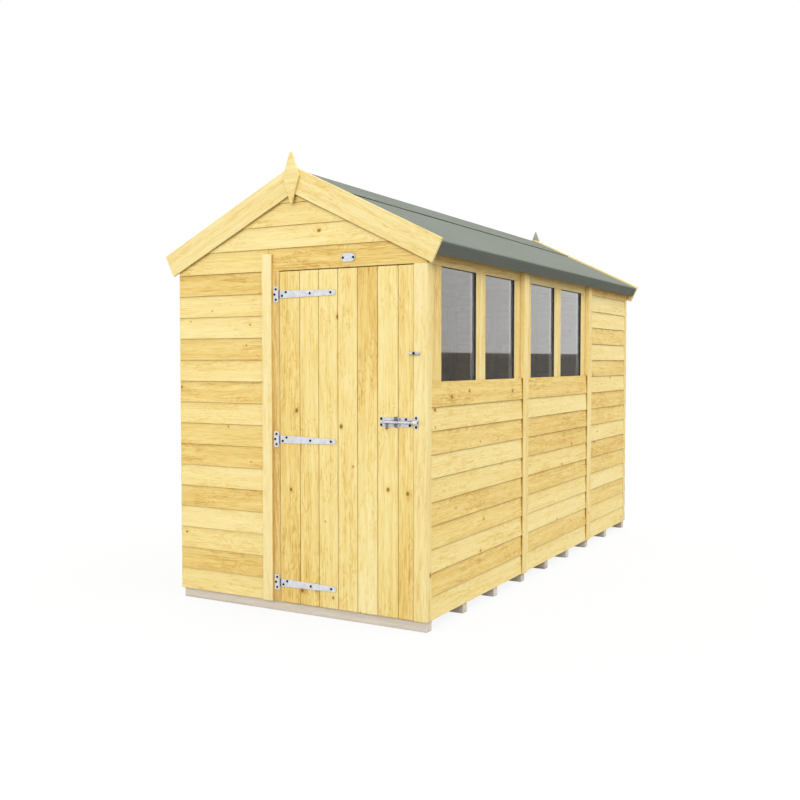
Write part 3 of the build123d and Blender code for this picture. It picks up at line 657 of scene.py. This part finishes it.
door = {
    "firstBoard": 0.1205, "board": 0.1126, "joint": 0.0007, "groove": 0.0042, "proud": 0.004,
    "edging": (0.0045, 0.006), "edgingRound": 0.0005, "lath": 0.0025, "lathRound": 0.0008,
    "tones": [   # foot, head
        (0.58, 0.46), (0.52, 0.31), (0.37, 0.25), (0.33, 0.34), (0.02, 0.70), (0.40, 0.22), (0.54, 0.40),
    ],
    "backEdge": 0.0012, "backTones": (0.1, 0.5),
    "stopWidth": 0.032, "stopDepth": 0.015, "stopLap": 0.017, "stopTones": (0.3, 0.35, 0.3),
}
low, high = boxesOf("door_boards")[0] + [[0, 0, 0], [door["proud"], 0, 0]]
doorTop = high[2]
joints = np.arange(low[0] + door["firstBoard"], high[0], door["board"])
edges = np.concatenate([[low[0]], joints, [high[0]]])
starts = np.full((len(edges) - 1, 3), low)
starts[:, 0] = edges[:-1] + door["joint"]
widths = (np.diff(edges) - 2 * door["joint"])[:, None] * np.array([1.0, 0, 0])
planks = bars(starts, (high[2] - low[2]) * up, widths, (0, high[1] - low[1], 0), door["groove"])
wide, deep = door["edging"]
starts = [low, (high[0] - wide, low[1], low[2])]
edging = bars(starts, (high[2] - low[2]) * up, (wide, 0, 0), (0, deep, 0), door["edgingRound"])
points, faces, number = joined(planks, edging)
piece = putPiece("doorPlanks", points, faces, doorWood, "door", ["door_boards"])
markGrain(piece, number, door["tones"] + [door["tones"][0], door["tones"][-1]], 51)
smooth(piece)
for step, node in enumerate(("door_ledges", "door_braces")):
    dressNode(node, frameWood, "door", door["backEdge"], door["backTones"], seed=55 + step)

# laths that the door shuts against, on the studs at both sides of the doorway, and one that narrows the hinges' gap
postLow, postHigh = boxesOf("hinge_post")[0]
closingSide = boxesOf("closing_post")[0][0]
sill, lintel = boxesOf("floor_deck")[:, 1, 2].max(), boxesOf("front_rails")[:, 0, 2].max()
stopFace = postHigh[1] + door["joint"]
starts = [(postHigh[0], stopFace, sill), (closingSide[0] + door["stopLap"] - door["stopWidth"], stopFace, sill)]
stops = bars(starts, (lintel - sill) * up, (door["stopWidth"], 0, 0), (0, door["stopDepth"], 0), cladding["rounding"])
gapLath = bars(
    (postHigh[0], postLow[1], postLow[2]), (doorTop - postLow[2]) * up, (door["lath"], 0, 0),
    (0, postHigh[1] - postLow[1], 0), door["lathRound"],
)
points, faces, number = joined(stops, gapLath)
piece = putPiece("doorStops", points, faces, frameWood, "shed")
markGrain(piece, number, door["stopTones"], 58)
smooth(piece)
print("door boarded")


# Posts, strips, barge boards and finials, and the frame inside

trim = {
    "edge": 0.0016, "postEdge": 0.0008, "packingTones": (0.34, 0.36),
    "drift": 0.10, "drifting": ("hinge_post", "closing_post", "front_cover_strip"),
    "tones": {
        # the hinge post's dark tone is partly painted shade, for the shade of the cover strip beside it
        "hinge_post": (0.78, 0.78), "closing_post": (0.26, 0.26), "front_cover_strip": (0.15, 0.15),
        "corner_boards": (0.35, 0.4), "window_posts": (0.40, 0.50), "window_sills": (0.3, 0.4),
        "window_heads": (0.36, 0.44), "side_cover_strips": (0.3, 0.36), "front_barge_boards": (0.24, 0.28),
        "rear_barge_boards": (0.24, 0.32), "finials": (0.30, 0.34),
    },
}
inside = {
    "edge": 0.0012, "tones": (0.1, 0.6), "bearerEdge": 0.003, "bearerTones": (0.05, 0.40),
    "plank": 0.1, "plankGap": 0.0004, "plankTones": (0.1, 0.55), "ridgeTrim": 0.006, "slack": 0.003,
}
for step, (node, tones) in enumerate(trim["tones"].items()):
    drift = trim["drift"] if node in trim["drifting"] else 0.0
    edge = trim["postEdge"] if node.endswith("_post") else trim["edge"]
    seed, crosswise = 60 + step, node == "finials"
    piece = dressNode(node, trimWood, "shed", edge, tones, drift, seed, crosswise=crosswise)
    if node == "finials":
        innerY = np.abs(boxesOf(node)[:, :, 1]).min()
        secondFinish(piece, greyWood, lambda middles, normals: np.isclose(np.abs(middles[:, 1]), innerY, atol=0.0005))
for step, node in enumerate((
    "front_studs", "front_rails", "right_studs", "right_rails", "left_studs", "left_rails", "rear_studs", "rear_rails",
    "ridge_beam", "rafters", "roof_ties", "eaves_battens",
)):
    dressNode(node, frameWood, "shed", inside["edge"], inside["tones"], seed=80 + step)

# packing between the window posts and the strips over the panel joints
rightPanels, windowPosts = boxesOf("right_cladding"), boxesOf("window_posts")
postBack, postFace, bottom = windowPosts[:, 0, 0].min(), windowPosts[:, 1, 0].max(), rightPanels[0][1][2]
rightStrips = (box for box in boxesOf("side_cover_strips") if box[0][0] > 0)
packs = []
for (low, high), far in zip(rightStrips, (np.inf, rightPanels[2][0][1])):
    start, width = (postFace, low[1], bottom), min(high[1], far) - low[1]
    packs.append(bars(start, (high[2] - bottom) * up, (0, width, 0), (low[0] - postFace, 0, 0), cladding["rounding"]))
points, faces, number = joined(*packs)
piece = putPiece("stripPacking", points, faces, trimWood, "shed")
markGrain(piece, number, trim["packingTones"], 79)
smooth(piece)


def boardedSlab(node, across, out, trimmed=0.0):
    # the slabs of a CAD node that face out, which are those as thick that way as the floor, each as boards along Y set
    # side by side in the direction across
    across, out, gap = np.array(across, float), np.array(out, float), inside["plankGap"]
    thickness = np.ptp(boxesOf("floor_deck")[0][:, 2])
    points, _, number = solidsOf(node)
    parts = []
    for one in range(number.max() + 1):
        mine = points[number == one]
        if abs(np.ptp(mine @ out) - thickness) > inside["slack"]:
            continue
        near, far = (mine @ across).min() + trimmed, (mine @ across).max()
        edges = np.linspace(near, far, max(1, round((far - near) / inside["plank"])) + 1)
        first, last = mine[:, 1].min(), mine[:, 1].max()
        low, high = (mine @ out).min(), (mine @ out).max()
        starts = (edges[:-1] + gap)[:, None] * across + first * np.array([0, 1, 0]) + low * out
        widths = (np.diff(edges) - 2 * gap)[:, None] * across
        parts.append(bars(starts, (0, last - first, 0), widths, (high - low) * out, cladding["rounding"]))
    return joined(*parts)


slope = math.atan(pitchTan)
downRight, offRight = np.array([math.cos(slope), 0, -math.sin(slope)]), np.array([math.sin(slope), 0, math.cos(slope)])
roofSides = (1, np.array([-1, 1, 1]))
roofParts = joined(*(
    boardedSlab("roof_boards", side * downRight, side * offRight, inside["ridgeTrim"]) for side in roofSides
))
floorParts = boardedSlab("floor_deck", (1, 0, 0), up)
for name, part, node, seed in (
    ("roofPlanks", roofParts, "roof_boards", 91), ("floorPlanks", floorParts, "floor_deck", 92),
):
    points, faces, number = part
    piece = putPiece(name, points, faces, frameWood, "shed", [node])
    markGrain(piece, number, drawTones(number.max() + 1, seed, *inside["plankTones"]), seed)
    smooth(piece)
dressNode("floor_bearers", bearerWood, "shed", inside["bearerEdge"], inside["bearerTones"], seed=99)
print("timber dressed")


# Felt

def buckles(y, s, seed):
    # slow swells of laid felt: four sine waves in Y and down the slope, of about the same height
    draw = np.random.default_rng(seed)
    waves = draw.uniform((2, 1, 0), (9, 8, 6.3), (4, 3))
    return felt["buckle"] * sum(np.sin(along * y + down * s + start) for along, down, start in waves) / 2


roofPoints = solidsOf("roof_felt")[0]
length = np.linspace(roofPoints[:, 1].min(), roofPoints[:, 1].max(), felt["stations"])[:, None]
rightSide = roofPoints[roofPoints[:, 0] > 0]
ridgePoint, foldPoint, footPoint = (rightSide[pick(rightSide)] for pick in (
    lambda p: p[:, 2].argmax(), lambda p: p[:, 0].argmax(), lambda p: p[:, 2].argmin(),
))
footPoint = rightSide[np.isclose(rightSide[:, 2], footPoint[2])].max(0)
down = foldPoint - ridgePoint
down = down * [1, 0, 1] / np.hypot(down[0], down[2])
drop = footPoint - foldPoint
drop = drop * [1, 0, 1] / np.hypot(drop[0], drop[2])

# the felt's section runs down the slope, round the fold in an arc and down over the batten; its inside is the same line
# moved in by the thickness
arc = np.linspace(0, math.pi / 2, felt["foldStations"])[:, None]
hub = foldPoint + felt["fold"] * (drop - down)
slopeShare, dropShare = (np.linspace(0, 1, felt[part])[:, None] for part in ("slopeStations", "dropStations"))


def feltLine(inset):
    bend = hub + (felt["fold"] - inset) * (np.sin(arc) * down - np.cos(arc) * drop)
    top = (1 - slopeShare) * (ridgePoint + inset * drop) + slopeShare * bend[0]
    tail = (1 - dropShare) * bend[-1] + dropShare * (footPoint - inset * down)
    return np.concatenate([top, bend[1:-1], tail])


def feltSide(inset, side):
    line = feltLine(inset)
    run = np.linalg.norm(np.diff(line, axis=0, prepend=line[:1]), axis=1).cumsum()
    swell = buckles(length, run[None], 5 + side) * np.sin(np.clip(run / run[-1], 0, 1) * math.pi)[None]
    grid = np.stack([line[:, 0] + 0 * length, length + 0 * run, line[:, 2] + swell], axis=-1)
    grid = grid * [side, 1, 1]
    return grid if side > 0 else grid[:, ::-1]


for name, side in (("rightFelt", 1), ("leftFelt", -1)):
    points, faces, _ = sheetBetween(feltSide(0, side), feltSide(felt["thickness"], side))
    piece = putPiece(name, points, faces, roofFelt, "shed", ["roof_felt"])
    # the drop over the eaves gets the darker felt as painted shade
    secondFinish(piece, paintedShadeDropFelt, lambda middles, normals: normals @ (down * [side, 1, 1]) > 0.8)
    smooth(piece, 30)

# the cap lies over the ridge and its long edges curl up a little; the underside and edges are bitumen, partly painted
# shade
capPoints = solidsOf("ridge_felt")[0]
capTop, capReach = capPoints[:, 2].max(), np.abs(capPoints[:, 0]).max()
s = np.linspace(-capReach, capReach, felt["capStations"])
curl = np.clip((np.abs(s) - capReach + felt["capCurl"]) / felt["capCurl"], 0, 1) ** 2
edgeLift = felt["capLift"] * (1 + felt["capUneven"] * buckles(length, np.sign(s)[None], 9))
capLine = capTop - np.hypot(s, felt["capRound"]) * pitchTan + curl * edgeLift
capGrid = np.stack([s + 0 * length, length + 0 * s, capLine], axis=-1)
points, faces, hidden = sheetBetween(capGrid, capGrid - [0, 0, felt["capThickness"]])
piece = putPiece("ridgeCap", points, faces, capFelt, "shed", ["ridge_felt"])
secondFinish(piece, bitumenAndShade, lambda middles, normals: hidden)
smooth(piece, 30)
print("roof felted")


# Windows: panes in a rubber strip, dark brown as partly painted shade, with pale linings behind them

strip = {
    "thickness": 0.0020, "setback": 0.001, "lining": 0.0020, "splay": 0.004, "liningGap": 0.0003, "rounding": 0.0004,
}
nodes["window_glass"].data.materials.clear()
nodes["window_glass"].data.materials.append(paneGlass)
rims, linings = [], []
for low, high in boxesOf("window_glass"):
    depth = (postFace - strip["setback"] - high[0], 0, 0)
    tall, long = (high[2] - low[2]) * up, np.array([0, high[1] - low[1], 0])
    corner = np.array([high[0], low[1], low[2]])
    flat, upright = np.array([0, strip["thickness"], 0]), strip["thickness"] * up
    rims.append(bars([corner, corner + long - flat], tall, flat, depth, strip["rounding"]))
    starts = [corner + flat, corner + flat + tall - upright]
    rims.append(bars(starts, long - 2 * flat, upright, depth, strip["rounding"]))
    front, thin, wide = low[0] - strip["liningGap"], strip["lining"], strip["lining"] + strip["splay"]
    linings.append(prisms([
        [(front, low[1]), (front, low[1] + thin), (postBack, low[1] + wide), (postBack, low[1])],
        [(front, high[1]), (postBack, high[1]), (postBack, high[1] - wide), (front, high[1] - thin)],
    ], low[2], high[2] - thin))
    start = (front, low[1], high[2] - thin)
    linings.append(bars(start, long, thin * up, (postBack - front, 0, 0), strip["rounding"]))
for name, some, material in (("paneStrips", rims, paneRubberAndShade), ("paneLinings", linings, paneLining)):
    points, faces, _ = joined(*some)
    putPiece(name, points, faces, material, "shed")
print("windows glazed")


# Hardware and its screws

fixings = {
    "edge": 0.0004, "smoothAngle": 40,
    "hingePlate": 0.003, "boltPlate": 0.002, "plateSlack": 0.0002, "rod": 0.0105, "knuckle": 0.0042, "flank": 0.0055,
    "radius": 0.0060, "rivet": 0.0042,
    "strap": ((0.320, -0.008), (0.2965, 0.010), (0.152, 0.0), (0.030, 0.0)),   # back from the tip, above the middle
    "leaf": ((0.0145, 0.026), (0.0145, -0.026), (0.007, 0.0)),
    "bolt": ((0.0075, 0.0145), (0.0075, -0.0145), (0.1417, 0.0145), (0.162, -0.0145)),
    "rivets": ((0.109, 0.0145), (0.109, -0.0145)),
    "keep": (0.0215, -0.0215), "blankPlate": (0.0295, -0.0295),
}
axle = boxesOf("hinge_pins")[0].mean(0)
plateLow, plateHigh = boxesOf("bolt_plate")[0]
plateMiddle, plateFace = (plateLow[2] + plateHigh[2]) / 2, plateHigh[1] - fixings["boltPlate"]
rodFoot = boxesOf("bolt_rod")[0][1][2] - fixings["rod"]


# the knuckles by the hinge axle, which get the darker zinc as painted shade
def nearAxle(middles, normals):
    return np.hypot(*(middles - axle).T[:2]) < fixings["knuckle"]


def onFlank(middles, normals):
    # the guides' flanks: proud of the plate, and away from its middle line; they get the darker zinc as painted shade
    proud = middles[:, 1] < plateFace - fixings["plateSlack"]
    return proud & (np.abs(middles[:, 2] - plateMiddle) > fixings["flank"])


# the handle below the rod, which gets the darker zinc as painted shade
def underRod(middles, normals):
    return middles[:, 2] < rodFoot


# each piece's zinc; on some, the faces that a test picks get the darker zinc as painted shade
for node, body, finish, paintedShadePart in (
    ("hinge_straps", "door", zinc, nearAxle), ("hinge_leaves", "shed", zinc, nearAxle),
    ("hinge_pins", "shed", dullZincAndPaintedShade, None), ("bolt_plate", "door", agedZinc, onFlank),
    ("bolt_rod", "bolt", zinc, underRod), ("bolt_keep", "shed", zinc, None),
    ("turn_button", "turn_button", agedZinc, None), ("blank_plate", "shed", zinc, None),
    ("button_screw", "shed", screwMetal, None),
):
    piece = dressNode(node, finish, body, fixings["edge"], smoothAngle=fixings["smoothAngle"])
    if paintedShadePart:
        secondFinish(piece, dullZincAndPaintedShade, paintedShadePart)

# shares of a head's radius
screwHead = {
    "points": 48, "crossReach": 0.62, "crossHalf": 0.15, "edge": 0.82, "crossFloor": 0.85,
    "heights": (0.0, 0.22, 0.40, 0.42, 0.12),
}


def screwHeads(name, places, radius, body, material=screwMetal):
    # round heads that face -Y, each with a cross cut in it: rings of points go up the rim, in over the edge to the
    # cross, whose outline is the farther of two crossed bars, and down to the cross's floor
    places = np.asarray(places, float)
    turn = np.linspace(0, 2 * math.pi, screwHead["points"], endpoint=False)
    side, rise = np.abs(np.cos(turn)) + 1e-6, np.abs(np.sin(turn)) + 1e-6
    reach, half = screwHead["crossReach"], screwHead["crossHalf"]
    cross = np.maximum(np.minimum(reach / side, half / rise), np.minimum(reach / rise, half / side))
    rim = np.ones_like(turn)
    shares = np.stack([rim, rim, screwHead["edge"] * rim, cross, screwHead["crossFloor"] * cross])
    lean = np.random.default_rng(len(places)).uniform(0, math.pi / 2, len(places))[:, None] + turn
    flat = np.stack([np.cos(lean), np.zeros_like(lean), np.sin(lean)], axis=-1)
    heights = np.outer(screwHead["heights"], (0, -1, 0))[None, :, None]
    points = places[:, None, None] + radius * (shares[None, :, :, None] * flat[:, None] + heights)
    index = np.arange(points.size // 3).reshape(points.shape[:3])
    ahead = np.roll(index, -1, axis=2)
    quads = np.stack([index[:, :-1], ahead[:, :-1], ahead[:, 1:], index[:, 1:]], axis=-1).reshape(-1, 4)
    faces = quads.tolist() + index[:, -1].tolist() + index[:, 0, ::-1].tolist()
    smooth(putPiece(name, points.reshape(-1, 3), faces, material, body), fixings["smoothAngle"])


doorScrews, wallScrews = [], []
for low, high in boxesOf("hinge_straps"):
    tip, middle, face = high[0], (low[2] + high[2]) / 2, high[1] - fixings["hingePlate"]
    doorScrews += [(tip - back, face, middle + rise) for back, rise in fixings["strap"]]
for low, high in boxesOf("hinge_leaves"):
    near, middle, face = low[0], (low[2] + high[2]) / 2, high[1] - fixings["hingePlate"]
    wallScrews += [(near + along, face, middle + rise) for along, rise in fixings["leaf"]]
boltScrews, rivets = (
    [(plateLow[0] + along, plateFace, plateMiddle + rise) for along, rise in fixings[kind]]
    for kind in ("bolt", "rivets")
)
low, high = boxesOf("bolt_keep")[0]
middle, face = (low + high) / 2, high[1] - fixings["boltPlate"]
wallScrews += [(middle[0], face, middle[2] + rise) for rise in fixings["keep"]]
low, high = boxesOf("blank_plate")[0]
middle = (low + high) / 2
wallScrews += [(middle[0] + along, low[1], middle[2]) for along in fixings["blankPlate"]]
low, high = boxesOf("button_screw")[0]
wallScrews.append(((low[0] + high[0]) / 2, low[1], (low[2] + high[2]) / 2))
screwHeads("doorScrews", doorScrews + boltScrews, fixings["radius"], "door")
screwHeads("wallScrews", wallScrews, fixings["radius"], "shed")
screwHeads("boltRivets", rivets, fixings["rivet"], "door", dullZincAndPaintedShade)
print("hardware dressed")


# Floor, light and camera

studio = {
    "floorRadius": 18.0, "floorPoints": 96, "floorDrop": 0.0005, "floorGrey": 0.8,
    "ambient": 0.9, "bounce": 0.2, "seenShade": 0.11,
    "key": {"from": (0.22, -0.92, 0.32), "strength": 1.25, "softness": 45},
    "fill": {"from": (0.60, 0.15, 0.78), "strength": 1.17, "softness": 45},
    "back": {"from": (-0.70, 0.55, 0.45), "strength": 0.8, "softness": 45},
    "screenTops": (1.348, 1.5215), "screenPlace": 7.0, "screenSpan": (1.0, 12.0), "screenColour": screen(117, 116, 113),
}


def seenRays(tree):
    # 1 for rays that show the backdrop: seen by the camera, in a mirror or through glass
    path = add(tree, "LightPath")
    seen = calc(tree, "MAXIMUM", path.outputs["Is Camera Ray"], path.outputs["Is Glossy Ray"])
    return calc(tree, "MAXIMUM", seen, path.outputs["Is Transmission Ray"])


def stagePiece(name, points, faces, material):
    piece = meshObject(name, points, faces, material)
    return piece


floorMaterial, tree, shader = newMaterial("paleFloor")
tree.nodes.clear()
bounce = add(tree, "BsdfDiffuse", {"Color": (studio["bounce"],) * 3 + (1,)})
white = add(tree, "Emission", {"Color": (1, 1, 1, 1), "Strength": 1.0})
shaded = add(tree, "BsdfDiffuse", {"Color": (studio["floorGrey"],) * 3 + (1,)})
seenFloor = add(tree, "MixShader", {"Fac": studio["seenShade"], 1: white.outputs[0], 2: shaded.outputs[0]})
whole = add(tree, "MixShader", {"Fac": seenRays(tree), 1: bounce.outputs[0], 2: seenFloor.outputs[0]})
add(tree, "OutputMaterial", {"Surface": whole.outputs[0]})
turn = np.linspace(0, 2 * math.pi, studio["floorPoints"], endpoint=False)
ring = np.stack([np.cos(turn), np.sin(turn), np.zeros_like(turn)], axis=1) * studio["floorRadius"]
stagePiece("floor", ring - studio["floorDrop"] * up, [list(range(len(turn)))], floorMaterial)

# a low dark screen behind and to the right, which the panes mirror in their lower part
screenMaterial, tree, shader = newMaterial("darkScreen")
shader.inputs["Base Color"].default_value = studio["screenColour"]
shader.inputs["Roughness"].default_value = 1.0
near, far = studio["screenSpan"]
back, (nearTop, farTop) = studio["screenPlace"], studio["screenTops"]
corners = [(near, back, 0), (far, back, 0), (far, back, farTop), (near, back, nearTop)]
darkScreen = stagePiece("lowScreen", corners, [[0, 1, 2, 3]], screenMaterial)
darkScreen.visible_camera = darkScreen.visible_diffuse = darkScreen.visible_shadow = False

world = bpy.data.worlds.new("studio")
bpy.context.scene.world = world
world.use_nodes = True
tree = world.node_tree
backdrop = tree.nodes["Background"]
backdrop.inputs["Color"].default_value = (1, 1, 1, 1)
tree.links.new(ease(tree, seenRays(tree), 0.0, 1.0, studio["ambient"], 1.0), backdrop.inputs["Strength"])

for name in ("key", "fill", "back"):
    lamp = bpy.data.lights.new(name, "SUN")
    lamp.energy = studio[name]["strength"]
    lamp.angle = math.radians(studio[name]["softness"])
    sun = bpy.data.objects.new(name, lamp)
    x, y, z = studio[name]["from"]
    sun.rotation_euler = (math.atan2(math.hypot(x, y), z), 0, math.atan2(x, -y))
    bpy.context.scene.collection.objects.link(sun)

view = {"place": (2.79194, -5.63334, 1.28190), "tilt": 87.679, "turn": 28.8875, "lens": 43.1156}
lens = bpy.data.cameras.new("view")
lens.lens = view["lens"]
camera = bpy.data.objects.new("view", lens)
camera.location = view["place"]
camera.rotation_euler = (math.radians(view["tilt"]), 0, math.radians(view["turn"]))
bpy.context.scene.collection.objects.link(camera)
bpy.context.scene.camera = camera
bpy.context.scene.view_settings.view_transform = "Standard"
print("studio set")
